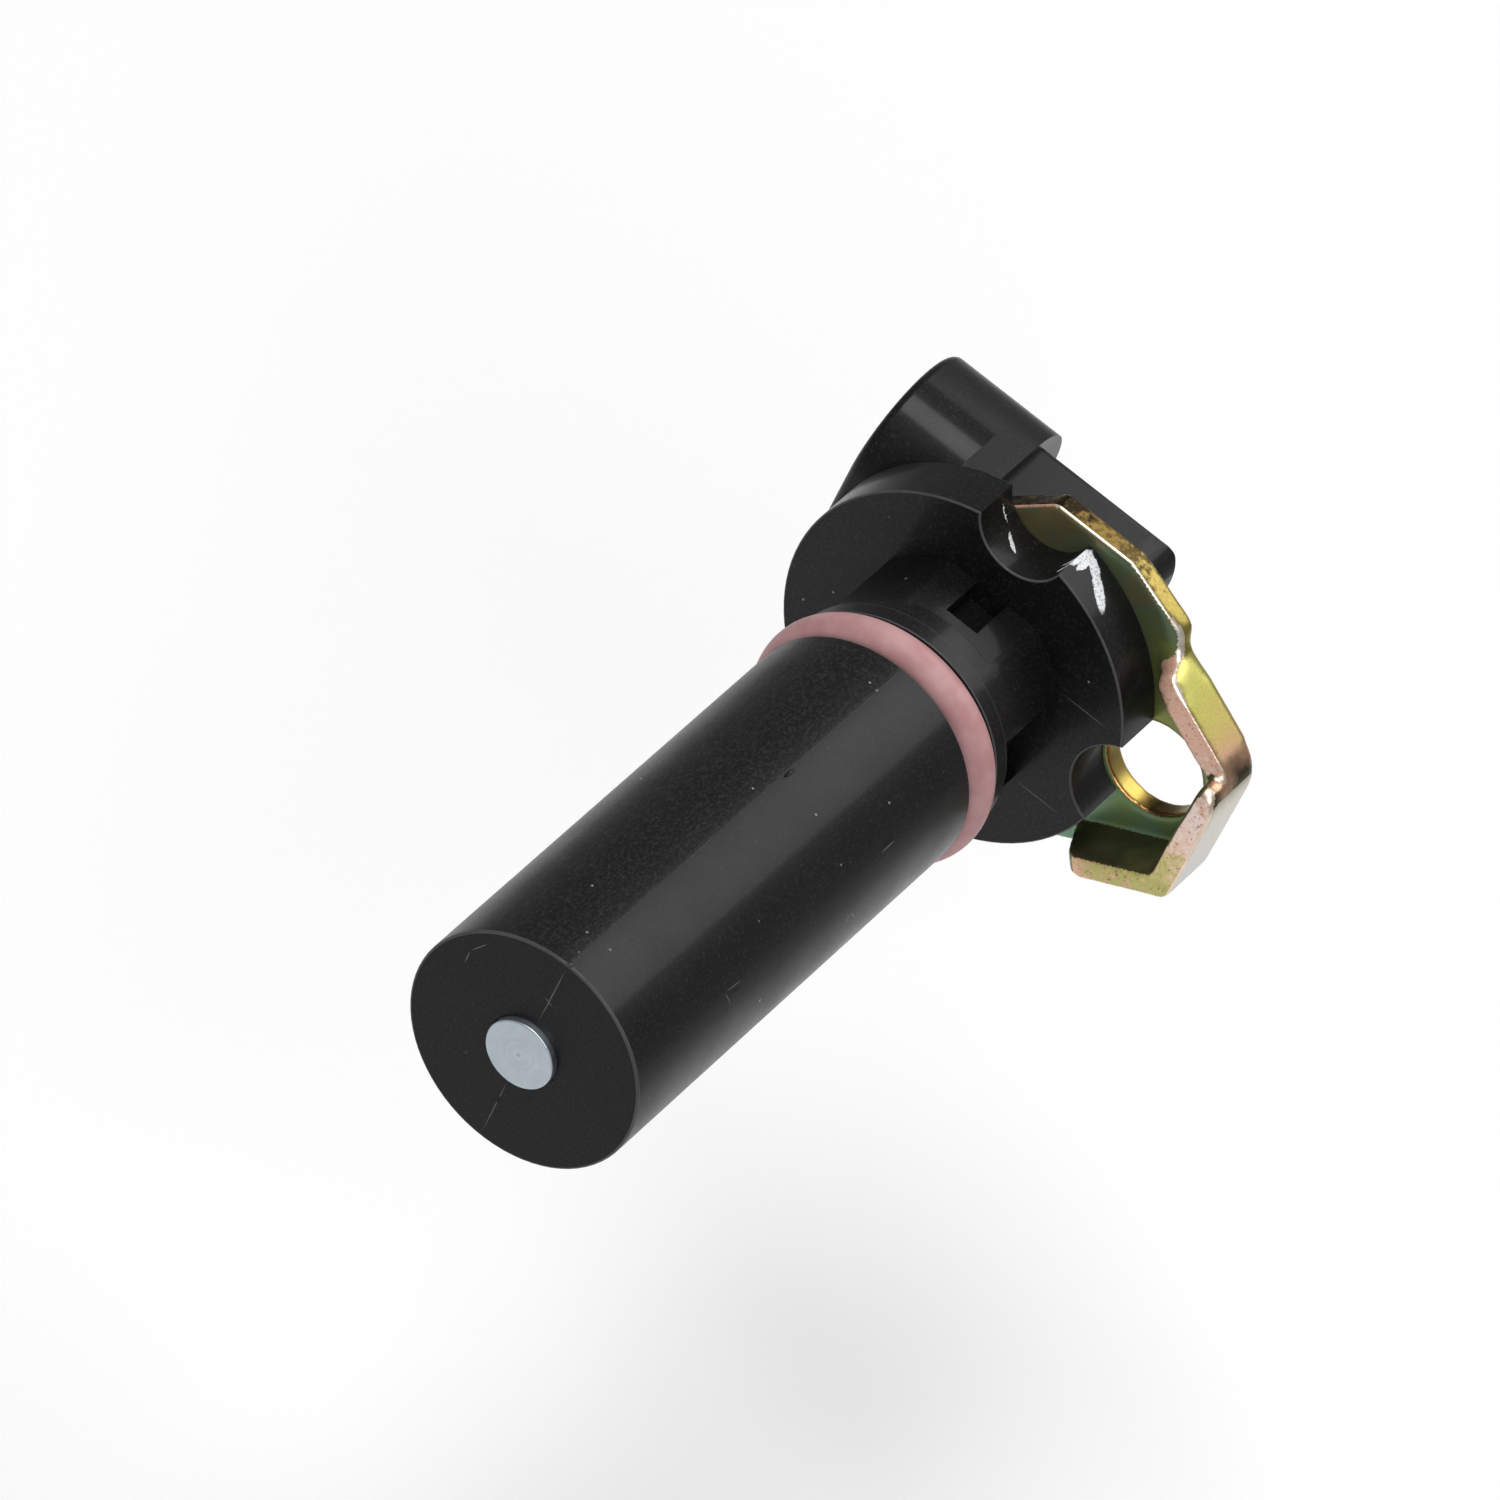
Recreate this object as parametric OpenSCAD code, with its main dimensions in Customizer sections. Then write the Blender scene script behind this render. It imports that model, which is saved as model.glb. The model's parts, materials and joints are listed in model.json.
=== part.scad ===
// Crankshaft position sensor: an overmoulded inductive pick-up with a stamped mounting bracket.
// The barrel lies along +Y. The origin is the centre of its sensing face, +X points to the bolt ear,
// the connector opens towards -X, and +Z is up. All sizes are in millimetres.

/* [Barrel] */
// Diameter of the barrel and of the collar behind the seal
barrel_d = 19.5; // [17.5:0.1:24]
// Distance from the sensing face to the seat face of the flange
reach = 57.3; // [54:0.1:80]

/* [Seal] */
// Thickness of the seal ring's round section
seal_section = 3.1; // [2:0.1:3.6]
// How far the seal ring stands proud of the barrel
seal_proud = 0.65; // [0.3:0.05:1]
// Width of the seal groove along the barrel
groove_w = 3.7; // [3.7:0.1:5]
// Width of the collar behind the groove
collar_w = 1.5; // [1:0.1:3]

/* [Neck] */
// Diameter of the neck between collar and flange
neck_d = 18.8; // [17:0.1:19.2]
// Length of the neck
neck_len = 7.9; // [7:0.1:12]
// Distance of the neck's upper and lower flats from the axis
flat_height = 8.6; // [8:0.1:9]
// Length of those flats, measured from the flange
flat_len = 6; // [5:0.1:6.5]
// Width of the core pocket in each flat
pocket_w = 2.8; // [2:0.1:5]
// Length of the core pocket, measured from the flange
pocket_len = 4.2; // [2:0.1:4.8]
// Distance of the pocket's floor from the axis
pocket_floor = 6.8; // [6.2:0.1:7.6]
// Height of the core slot in each side of the neck
slot_h = 9.3; // [6:0.1:11]
// Distance of the slot's floor from the axis
slot_floor = 6.6; // [6.2:0.1:8]

/* [Flange] */
// Diameter of the flange
flange_d = 29.6; // [27:0.1:34]
// Thickness of the flange
flange_t = 4.55; // [3:0.05:6]
// Radius of the round notches in the top and bottom of the flange
notch_r = 3.8; // [2:0.1:5]
// Distance of those notches' centres from the axis
notch_off = 15.3; // [14:0.1:17]
// Radial clearance of the flange's bolt notch round the bolt hole
bolt_notch_gap = 0.35; // [0:0.05:1]

/* [Bracket] */
// Thickness of the steel sheet
plate_t = 2; // [1.5:0.1:3]
// Diameter of the bolt hole
bolt_hole_d = 8.1; // [6.4:0.1:9]
// Distance of the bolt hole from the barrel's axis
bolt_x = 16; // [15.4:0.1:17]
// Height of the bolt hole above the barrel's axis
bolt_z = 0.3; // [-0.5:0.1:0.5]
// Distance of the bracket's upper and lower edges from the axis
plate_half = 15.3; // [14.8:0.1:18]
// Where the upper edge ends and the shoulder slopes down to the ear
shoulder_x = 7.2; // [5:0.1:9]
// Slope of that shoulder in degrees
shoulder_slope = 25; // [20:1:30]
// Where the corner cuts of the upper and lower edges start
corner_cut_x = -0.1; // [-2:0.1:2]
// Inner end of the bracket, inside the moulding
plate_inner_x = -6.2; // [-7:0.1:-6]
// Diameter of the hole that the moulding runs through
core_hole_d = 14; // [12:0.1:16]
// Outer end of the bolt ear
ear_end = 22.6; // [22.2:0.1:25]
// Height of the ear's upper corner above the axis
ear_top = 5.8; // [4:0.1:7]
// Depth of the ear's lower corner below the axis
ear_bottom = 5.4; // [4:0.1:7]
// Slope of the ear's upper and lower edges in degrees
ear_slope = 30.5; // [26:0.5:34]
// Where the bent lip starts on the ear's upper edge
lip_start_x = 13.5; // [12.5:0.1:15]
// How far the upper lip stays short of the seat plane
upper_lip_short = 2.3; // [1:0.1:4]
// How far the ear's corner and foot stay short of the seat plane
foot_short = 0.1; // [0.1:0.1:1]
// Length of the foot along the ear's lower edge
foot_len = 8.4; // [5:0.1:12]
// Outer radius of the bends round the ear's end and along the foot
bend_r = 1; // [0.9:0.1:2]
// Outer radius of the tighter bend along the upper lip
lip_bend_r = 0.7; // [0.3:0.1:0.8]
// Inner radius of the bends
bend_inner_r = 0.4; // [0.2:0.1:0.8]

/* [Bracket corners] */
// Width of the step between the shoulder's slope and the start of the lip
shoulder_step = 0.5; // [0.4:0.1:1.5]
// Radius of the corners at the bracket's inner end
inner_corner_r = 0.5; // [0.2:0.1:1]
// Radius of the corners where the corner cuts start
cut_corner_r = 0.6; // [0.2:0.1:1]
// Radius of the outer corners of the upper and lower edges
shoulder_r = 1; // [0.4:0.1:2]
// Radius of the corner where the shoulder's slope ends
shoulder_end_r = 0.6; // [0.3:0.1:1.6]
// Radius of the hollow where the lip starts
lip_corner_r = 0.4; // [0.2:0.1:1]
// Radius of the ear's upper corner
ear_upper_r = 4; // [2.2:0.1:5]
// Radius of the ear's lower corner
ear_lower_r = 1; // [0.4:0.1:2]
// Where the upper lip's sweep leaves the plate, along the ear's edge
sweep_start = 0.1; // [0:0.1:0.5]
// End of that sweep, along the ear's edge
sweep_end = 1; // [0.8:0.1:3.5]
// Radius of the sweep's outer corner
sweep_r = 0.6; // [0.3:0.1:1]
// Radius of the step between the upper lip and the end pad
step_r = 1.2; // [0.4:0.1:2]
// Length of the pad that touches the engine, along the ear's end
pad_len = 6.6; // [4:0.1:8]
// Radius of the foot's front corner
foot_end_r = 1.8; // [0.6:0.1:2.4]
// How far the foot's end leans back to the plate
foot_lean = 1.8; // [0.5:0.1:3]
// Radius of the hollow between the foot's end and the plate
foot_root_r = 0.4; // [0.2:0.1:0.8]

/* [Head] */
// Half height of the head block
head_half = 9.2; // [8:0.1:10]
// Outer end of the head block
head_end = 7.9; // [7.4:0.1:9]
// Depth of the head block behind the bracket
head_depth = 9; // [7:0.1:12]
// Radius of the head block's upright corners
head_corner_r = 3.2; // [1:0.1:5]
// Radius of the head block's rear edges
head_edge_r = 1.2; // [0.3:0.1:2]

/* [Connector] */
// Distance of the shroud's mouth from the barrel's axis
mouth_x = 15.7; // [14:0.1:20]
// Distance of the shroud's inner end from the barrel's axis
shroud_root_x = 5.6; // [5.4:0.1:5.9]
// Radius of the shroud's round sides
shroud_r = 7.1; // [6.4:0.1:8]
// Radius of the shroud's outer edge at its mouth
rim_r = 0.7; // [0.2:0.1:1]
// Half distance between the centres of the two round sides
shroud_spread = 3.4; // [2.5:0.1:5]
// Distance of the shroud's centre line behind the bracket
shroud_rise = 6.3; // [6:0.1:8]
// Wall thickness of the shroud
shroud_wall = 1.6; // [1.4:0.1:2]
// Depth of the socket
socket_depth = 9.5; // [8.5:0.1:9.8]
// Length of the squared root of the shroud
root_len = 2.8; // [1.5:0.1:4]
// Width of the catch for the plug's latch
catch_w = 5; // [3:0.1:7]
// Height of that catch
catch_h = 1.3; // [0.6:0.1:2]
// Distance of the catch's ramp from the shroud's mouth
catch_start = 2.2; // [1:0.1:3]
// Length of the catch's ramp
catch_ramp = 2.8; // [1.5:0.1:3.5]
// Length of the catch's level top
catch_top_len = 1; // [0.5:0.1:1.5]

/* [Terminals] */
// Distance between the two terminals
terminal_pitch = 5; // [4:0.1:7]
// Width of a terminal
terminal_w = 1.5; // [1:0.1:2.8]
// Thickness of a terminal
terminal_t = 0.8; // [0.5:0.05:1]
// How far the blades stand up from the socket's floor
blade_len = 4.6; // [3:0.1:4.8]

/* [Coil] */
// Diameter of the pole piece and the magnet
pole_d = 5.7; // [3:0.1:6]
// How far the pole piece stands proud of the sensing face
pole_proud = 0.6; // [0.1:0.05:1]
// Length of the pole piece
pole_len = 34.4; // [20:0.1:36]
// Length of the magnet
magnet_len = 10; // [5:0.1:10]
// Thickness of the plastic between the sensing face and the bobbin
face_wall = 3; // [1.5:0.1:5]
// Diameter of the bobbin's end flanges
bobbin_d = 14.8; // [13:0.1:15.5]
// Length of the bobbin's winding space
winding_len = 23.8; // [10:0.1:24]
// Thickness of the bobbin's end flanges
bobbin_flange_t = 1.4; // [1:0.1:2]
// Wall of the bobbin's core round the pole piece
bobbin_wall = 1; // [0.6:0.1:1.4]
// Diameter of the carrier behind the winding
carrier_d = 10.8; // [10:0.1:11.4]
// Depth of the winding below the rim of the bobbin's flanges
winding_inset = 0.8; // [0.3:0.1:2]
// Diameter of the lead wires
wire_d = 0.5; // [0.2:0.05:0.6]

/* [Fits] */
// Gap drawn between a moulded-in piece and the plastic round it
mould_gap = 0.05; // [0.02:0.01:0.1]
// Gap between the seal ring and its groove
seal_gap = 0.05; // [0.02:0.01:0.2]

/* [Hidden] */
$fn = 96;
// Length that carries a cut clear of the faces it starts from
over = 1;

barrel_r = barrel_d / 2;
neck_r = neck_d / 2;
pole_r = pole_d / 2;
carrier_r = carrier_d / 2;
bobbin_r = bobbin_d / 2;

// Levels along the barrel, from the sensing face to the rear
collar_end = reach - neck_len;
groove_end = collar_end - collar_w;
groove_start = groove_end - groove_w;
flange_back = reach + flange_t;
plate_front = flange_back + mould_gap;
plate_back = plate_front + plate_t;
head_front = plate_back + mould_gap;
head_back = head_front + head_depth;
shroud_y = head_front + shroud_rise;

// Seal ring against the rear wall of its groove
ring_r = barrel_r + seal_proud - seal_section / 2;
ring_y = groove_end - seal_gap - seal_section / 2;
groove_floor = ring_r - seal_section / 2 - seal_gap;

// Coil stack from the bobbin's front to the carrier's rear
bobbin_front = face_wall + mould_gap;
winding_start = bobbin_front + bobbin_flange_t;
winding_end = winding_start + winding_len;
bobbin_rear = winding_end + bobbin_flange_t;
pole_end = pole_len - pole_proud;
magnet_start = pole_end + mould_gap;
magnet_end = magnet_start + magnet_len;
tail_cover = 1.6;
tail_start = magnet_end + tail_cover;
tail_seat = 4;
carrier_end = tail_start + tail_seat;
winding_r = bobbin_r - winding_inset;
wire_z = carrier_r - wire_d;
wire_slot = wire_d + 4 * mould_gap;
wire_hook_y = tail_start + 2 * wire_d;

// Socket and blades
socket_floor_x = socket_depth - mouth_x;
socket_r = shroud_r - shroud_wall;
root_half = shroud_spread + shroud_r;
blade_tip_x = socket_floor_x - blade_len;
blade_bevel = terminal_t / 2;

// Ear corners, and the points where the sloping edges meet the straight ones, as [x, z]
ear_upper = [ear_end, ear_top];
ear_lower = [ear_end, -ear_bottom];
lip_start = [lip_start_x, ear_top + (ear_end - lip_start_x) * tan(ear_slope)];
shoulder_end_x = lip_start_x - shoulder_step;
shoulder_end = [shoulder_end_x, plate_half - (shoulder_end_x - shoulder_x) * tan(shoulder_slope)];
lower_edge_x = ear_end - (plate_half - ear_bottom) / tan(ear_slope);
corner_cut = corner_cut_x - plate_inner_x;

// Lengths and turns of the three lip walls: along the upper edge, down the ear's end, along the foot
upper_lip_len = norm(ear_upper - lip_start);
end_lip_len = ear_top + ear_bottom;
// Angle of the ear's upper corner radius, how far it reaches along both edges, and its centre as [x, z]
ear_upper_turn = 90 - ear_slope;
ear_upper_reach = ear_upper_r * tan(ear_upper_turn / 2);
ear_upper_centre = [ear_end - ear_upper_r, ear_top - ear_upper_reach];
upper_lip_turn = ear_slope;
foot_turn = 180 - ear_slope;
upper_lip_front = reach + upper_lip_short;
foot_front = reach + foot_short;

core_hole_r = core_hole_d / 2;

function unit(v) = v / norm(v);

// Points of corner b, between its neighbours a and c, rounded to radius r
function corner_arc(a, b, c, r, steps = 9) =
    r == 0 ? [b] :
    let (
        u = unit(a - b),
        v = unit(c - b),
        half = acos(u * v) / 2,
        centre = b + unit(u + v) * r / sin(half),
        from = b + u * r / tan(half) - centre,
        to = b + v * r / tan(half) - centre,
        start = atan2(from[1], from[0]),
        sweep = atan2(to[1], to[0]) - start,
        turn = sweep > 180 ? sweep - 360 : sweep < -180 ? sweep + 360 : sweep
    )
    [for (i = [0 : steps]) centre + r * [cos(start + turn * i / steps), sin(start + turn * i / steps)]];

// Outline with each corner rounded to its own radius; corners holds [point, radius] pairs
function rounded(corners) =
    let (n = len(corners))
    [for (i = [0 : n - 1])
        each corner_arc(corners[(i + n - 1) % n][0], corners[i][0], corners[(i + 1) % n][0], corners[i][1])];

// Profile in (x, z) carried along the barrel from y0 to y1
module along_y(y0, y1) {
    translate([0, y1, 0]) rotate([90, 0, 0]) linear_extrude(y1 - y0) children();
}

// Profile in (y, z) carried across from x0 to x1
module along_x(x0, x1) {
    translate([x0, 0, 0]) rotate([90, 0, 90]) linear_extrude(x1 - x0) children();
}

// Round bar on the barrel's axis
module bar(y0, y1, r) {
    translate([0, y0, 0]) rotate([-90, 0, 0]) cylinder(h = y1 - y0, r = r);
}

// Round bar along the barrel through the point [x, z]
module bar_at(point, y0, y1, r) {
    translate([point[0], 0, point[1]]) bar(y0, y1, r);
}

// Oval body of the connector: profile in (x, radius), turned at both sides and carried between them
module oval_body(profile) {
    for (side = [-1, 1])
        translate([0, shroud_y, side * shroud_spread])
            rotate([0, 90, 0]) rotate_extrude() polygon([for (p = profile) [p[1], p[0]]]);
    translate([0, shroud_y, -shroud_spread])
        linear_extrude(2 * shroud_spread) {
            polygon(profile);
            mirror([0, 1]) polygon(profile);
        }
}

// Barrel with its seal groove, collar and neck, up to the flange
module barrel_body() {
    bar(0, groove_start, barrel_r);
    bar(groove_start, groove_end, groove_floor);
    bar(groove_end, collar_end, barrel_r);
    difference() {
        bar(collar_end, reach, neck_r);
        neck_cores();
    }
}

// Cored-out flats, pockets and side slots of the neck
module neck_cores() {
    for (side = [0, 180])
        rotate([0, side, 0]) {
            translate([-neck_r, reach - flat_len, flat_height]) cube([neck_d, flat_len, neck_r]);
            translate([-pocket_w / 2, reach - pocket_len, pocket_floor]) cube([pocket_w, pocket_len, neck_r]);
            translate([slot_floor, collar_end, -slot_h / 2]) cube([neck_r, neck_len, slot_h]);
        }
}

// Notched flange that seats on the engine
module flange_body() {
    difference() {
        bar(reach, flange_back, flange_d / 2);
        for (side = [-1, 1])
            bar_at([0, side * notch_off], reach - over, flange_back + over, notch_r);
        bar_at([bolt_x, bolt_z], reach - over, flange_back + over, bolt_hole_d / 2 + bolt_notch_gap);
    }
}

// Head block behind the bracket, with rounded upright corners and rear edges
module head_body() {
    plan = rounded([
        [[-shroud_root_x - over, -head_half], 0], [[head_end, -head_half], head_corner_r],
        [[head_end, head_half], head_corner_r], [[-shroud_root_x - over, head_half], 0]]);
    side = rounded([
        [[head_front, -head_half], 0], [[head_back, -head_half], head_edge_r],
        [[head_back, head_half], head_edge_r], [[head_front, head_half], 0]]);
    top = rounded([
        [[-shroud_root_x - over, head_front], 0], [[head_end, head_front], 0],
        [[head_end, head_back], head_edge_r], [[-shroud_root_x - over, head_back], 0]]);
    intersection() {
        along_y(head_front, head_back) polygon(plan);
        along_x(-shroud_root_x - over, head_end) polygon(side);
        translate([0, 0, -head_half]) linear_extrude(2 * head_half) polygon(top);
    }
}

// Connector shroud: oval, squared root and the catch for the plug's latch
module shroud_body() {
    oval_body(rounded([
        [[-mouth_x, 0], 0], [[-mouth_x, shroud_r], rim_r],
        [[-shroud_root_x, shroud_r], 0], [[-shroud_root_x, 0], 0]]));
    translate([-shroud_root_x - root_len, flange_back, -root_half])
        cube([root_len, shroud_y - flange_back, 2 * root_half]);
    catch_top = shroud_y + shroud_r + catch_h;
    catch_x = catch_start - mouth_x;
    catch_back_x = catch_x + catch_ramp + catch_top_len;
    translate([0, 0, -catch_w / 2])
        linear_extrude(catch_w)
            polygon([[catch_x, shroud_y], [catch_x, shroud_y + shroud_r], [catch_x + catch_ramp, catch_top],
                     [catch_back_x, catch_top], [catch_back_x, shroud_y]]);
}

// Spaces in the moulding for the coil stack and the terminals
module moulded_in_space() {
    bar(-over, bobbin_front, pole_r + mould_gap);
    bar(face_wall, bobbin_rear + mould_gap, bobbin_r + mould_gap);
    bar(bobbin_rear, carrier_end + mould_gap, carrier_r + mould_gap);
    for (side = [-1, 1])
        terminal_plate(side, mould_gap);
}

// Overmoulded body of the sensor
module sensor_housing() {
    color([0.11, 0.11, 0.12])
        difference() {
            union() {
                barrel_body();
                flange_body();
                bar(flange_back, head_front, core_hole_r - mould_gap);
                shroud_body();
                head_body();
            }
            moulded_in_space();
            oval_body([[-mouth_x - over, 0], [-mouth_x - over, socket_r],
                       [socket_floor_x, socket_r], [socket_floor_x, 0]]);
            plate_slot();
        }
}

// Outline of the bracket, seen along the barrel, with the ear's upper corner still sharp
function bracket_outline() = rounded([
    [[plate_inner_x, plate_half - corner_cut], inner_corner_r], [[corner_cut_x, plate_half], cut_corner_r],
    [[shoulder_x, plate_half], shoulder_r], [shoulder_end, shoulder_end_r], [lip_start, lip_corner_r],
    [ear_upper, 0], [ear_lower, ear_lower_r],
    [[lower_edge_x, -plate_half], shoulder_r], [[corner_cut_x, -plate_half], cut_corner_r],
    [[plate_inner_x, corner_cut - plate_half], inner_corner_r]]);

// The same outline with that corner taken off to its radius
module bracket_plan() {
    side = ear_upper_r + over;
    difference() {
        polygon(bracket_outline());
        translate(ear_upper_centre)
            difference() {
                polygon([[0, 0], [side, 0], [side, side * tan(ear_upper_turn / 2)],
                         side * [cos(ear_upper_turn), sin(ear_upper_turn)]]);
                circle(ear_upper_r);
            }
    }
}

// Room for the bracket's inner end in the squared root of the shroud
module plate_slot() {
    difference() {
        translate([plate_inner_x - mould_gap, flange_back, -root_half - over])
            cube([-plate_inner_x, head_front - flange_back, 2 * (root_half + over)]);
        bar(flange_back - over, head_front + over, core_hole_r - mould_gap);
    }
}

// Moves a lip wall from its own plane to the edge that starts at the point [x, z]
module on_edge(start, turn) {
    translate([start[0], 0, start[1]]) rotate([0, turn, 0]) children();
}

// Lip wall bent off an edge: profile is its outline in (distance along the edge, y)
module lip_wall(start, turn, profile) {
    on_edge(start, turn) translate([0, 0, -plate_t]) linear_extrude(plate_t) polygon(profile);
}

// Corner that a bend's outer radius r takes off an edge
module bend_cut(start, turn, from, to, r) {
    on_edge(start, turn)
        along_x(from, to)
            translate([plate_back - r, -r])
                difference() {
                    square(r + over);
                    circle(r);
                }
}

// The same round the ear's upper corner
module bend_corner_cut() {
    translate([ear_upper_centre[0], plate_back - bend_r, ear_upper_centre[1]])
        rotate([90, 0, 0])
            rotate_extrude(angle = ear_upper_turn)
                translate([ear_upper_r - bend_r, 0])
                    difference() {
                        translate([0, -bend_r - over]) square(bend_r + over);
                        circle(bend_r);
                    }
}

// Fillet inside a bend
module bend_fillet(start, turn, from, to) {
    on_edge(start, turn)
        along_x(from, to)
            translate([plate_front - bend_inner_r, -plate_t - bend_inner_r])
                difference() {
                    square(bend_inner_r);
                    circle(bend_inner_r);
                }
}

// Stamped bracket: flat plate, bolt ear and the stand-off lip bent round the ear
module mounting_bracket() {
    upper_profile = rounded([
        [[sweep_start, plate_back], 0], [[upper_lip_len, plate_back], 0],
        [[upper_lip_len, upper_lip_front], 0], [[sweep_end, upper_lip_front], sweep_r],
        [[sweep_start, plate_front], 0]]);
    end_profile = rounded([
        [[0, plate_back], 0], [[end_lip_len, plate_back], 0], [[end_lip_len, foot_front], 0],
        [[pad_len + foot_short, foot_front], 0], [[pad_len, reach], 0], [[0, reach], step_r]]);
    foot_profile = rounded([
        [[0, plate_back], 0], [[foot_len + foot_lean, plate_back], 0],
        [[foot_len + foot_lean, plate_front], foot_root_r],
        [[foot_len, foot_front], foot_end_r], [[0, foot_front], 0]]);
    color([0.72, 0.62, 0.32])
        difference() {
            intersection() {
                along_y(reach - over, plate_back) bracket_plan();
                union() {
                    along_y(plate_front, plate_back) bracket_plan();
                    lip_wall(lip_start, upper_lip_turn, upper_profile);
                    lip_wall(ear_upper, 90, end_profile);
                    lip_wall(ear_lower, foot_turn, foot_profile);
                    bend_fillet(lip_start, upper_lip_turn, sweep_end, upper_lip_len);
                    bend_fillet(ear_upper, 90, 0, end_lip_len);
                    bend_fillet(ear_lower, foot_turn, 0, foot_len);
                }
            }
            bend_cut(lip_start, upper_lip_turn, 0, upper_lip_len - ear_upper_reach + over, lip_bend_r);
            bend_corner_cut();
            bend_cut(ear_upper, 90, ear_upper_reach, end_lip_len + over, bend_r);
            bend_cut(ear_lower, foot_turn, -over, foot_len, bend_r);
            bar_at([bolt_x, bolt_z], reach - over, plate_back + over, bolt_hole_d / 2);
            bar(plate_front - over, plate_back + over, core_hole_r);
        }
}

// Seal ring in its groove
module o_ring() {
    color([0.78, 0.58, 0.57])
        translate([0, ring_y, 0]) rotate([-90, 0, 0])
            rotate_extrude() translate([ring_r, 0]) circle(d = seal_section, $fn = 48);
}

// Soft-iron rod that carries the field to the sensing face
module pole_piece() {
    color([0.72, 0.75, 0.78]) bar(-pole_proud, pole_end, pole_r);
}

// Bar magnet behind the pole piece
module permanent_magnet() {
    color([0.36, 0.37, 0.39]) bar(magnet_start, magnet_end, pole_r);
}

// Spool with the winding space in front and the carrier for magnet and terminals behind it
module coil_bobbin() {
    color([0.82, 0.79, 0.7])
        difference() {
            union() {
                bar(bobbin_front, carrier_end, pole_r + bobbin_wall);
                bar(bobbin_front, winding_start, bobbin_r);
                bar(winding_end, bobbin_rear, bobbin_r);
                bar(bobbin_rear, carrier_end, carrier_r);
            }
            bar(bobbin_front - over, magnet_end + mould_gap, pole_r + mould_gap);
            for (side = [-1, 1]) {
                terminal_plate(side, mould_gap);
                wire_channel(side);
            }
        }
}

// Groove for a lead wire along the carrier, and the slot where it turns in to its terminal
module wire_channel(side) {
    mirror([0, 0, side < 0 ? 1 : 0]) {
        translate([-wire_slot / 2, winding_end - over, wire_z - wire_slot / 2])
            cube([wire_slot, wire_hook_y - winding_end + over + wire_slot / 2, bobbin_r]);
        translate([-wire_slot / 2, wire_hook_y - wire_slot / 2, terminal_pitch / 2])
            cube([wire_slot, wire_slot, carrier_r]);
    }
}

// Copper coil and its two lead tails
module coil_winding() {
    color([0.72, 0.4, 0.2]) {
        difference() {
            bar(winding_start + mould_gap, winding_end - mould_gap, winding_r);
            bar(winding_start, winding_end, pole_r + bobbin_wall + mould_gap);
        }
        for (side = [-1, 1])
            mirror([0, 0, side < 0 ? 1 : 0])
                lead_tail();
    }
}

// Lead wire from the coil along the carrier and in to the terminal's face
module lead_tail() {
    bar_at([0, wire_z], winding_end - over, wire_hook_y, wire_d / 2);
    hook_end = terminal_pitch / 2 + terminal_t / 2 + mould_gap;
    translate([0, wire_hook_y, hook_end]) cylinder(h = wire_z + wire_d / 2 - hook_end, d = wire_d);
}

// Outline of a terminal in (x, y), grown by a gap: tail along the barrel, blade out of the socket floor
function terminal_outline(gap) =
    let (half = terminal_w / 2 + gap)
    [[half, tail_start - gap], [half, shroud_y + half], [blade_tip_x + blade_bevel - gap, shroud_y + half],
     [blade_tip_x - gap, shroud_y + half - blade_bevel], [blade_tip_x - gap, shroud_y - half + blade_bevel],
     [blade_tip_x + blade_bevel - gap, shroud_y - half], [-half, shroud_y - half], [-half, tail_start - gap]];

// Flat terminal on one side of the middle plane
module terminal_plate(side, gap = 0) {
    translate([0, 0, side * terminal_pitch / 2 - terminal_t / 2 - gap])
        linear_extrude(terminal_t + 2 * gap) polygon(terminal_outline(gap));
}

// Upper terminal
module terminal_upper() {
    color([0.8, 0.77, 0.66]) terminal_plate(1);
}

// Lower terminal
module terminal_lower() {
    color([0.8, 0.77, 0.66]) terminal_plate(-1);
}

sensor_housing();
mounting_bracket();
o_ring();
pole_piece();
permanent_magnet();
coil_bobbin();
coil_winding();
terminal_upper();
terminal_lower();
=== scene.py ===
"""Looks of a crankshaft position sensor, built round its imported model.

The model's own frame is kept: the origin is the centre of the sensing face, the barrel runs along +Y,
the bolt ear lies at +X, the connector opens towards -X and +Z is up. Sizes and places in this file are
in millimetres, and MM turns them into Blender's metres.
"""

import json
import logging
import math
from collections.abc import Callable
from dataclasses import dataclass
from enum import Enum

import bmesh
import bpy
from mathutils import Matrix, Vector

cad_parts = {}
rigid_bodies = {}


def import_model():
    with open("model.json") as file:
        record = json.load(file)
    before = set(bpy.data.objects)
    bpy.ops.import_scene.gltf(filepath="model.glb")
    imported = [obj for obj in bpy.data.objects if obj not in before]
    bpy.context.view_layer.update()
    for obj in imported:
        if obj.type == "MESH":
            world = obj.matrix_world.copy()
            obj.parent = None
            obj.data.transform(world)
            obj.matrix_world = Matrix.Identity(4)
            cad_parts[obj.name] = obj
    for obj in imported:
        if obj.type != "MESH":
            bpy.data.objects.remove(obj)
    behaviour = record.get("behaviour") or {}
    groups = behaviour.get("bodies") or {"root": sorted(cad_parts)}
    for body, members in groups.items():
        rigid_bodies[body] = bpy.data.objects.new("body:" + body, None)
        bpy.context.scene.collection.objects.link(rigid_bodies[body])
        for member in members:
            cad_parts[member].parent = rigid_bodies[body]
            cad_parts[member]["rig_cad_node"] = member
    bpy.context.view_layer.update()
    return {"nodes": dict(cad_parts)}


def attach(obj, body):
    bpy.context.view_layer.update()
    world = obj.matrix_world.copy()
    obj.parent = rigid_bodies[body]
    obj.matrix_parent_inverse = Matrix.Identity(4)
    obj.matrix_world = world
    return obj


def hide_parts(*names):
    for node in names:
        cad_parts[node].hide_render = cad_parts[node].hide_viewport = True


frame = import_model()

MM = 0.001
LOG = logging.getLogger("sensor")

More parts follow.
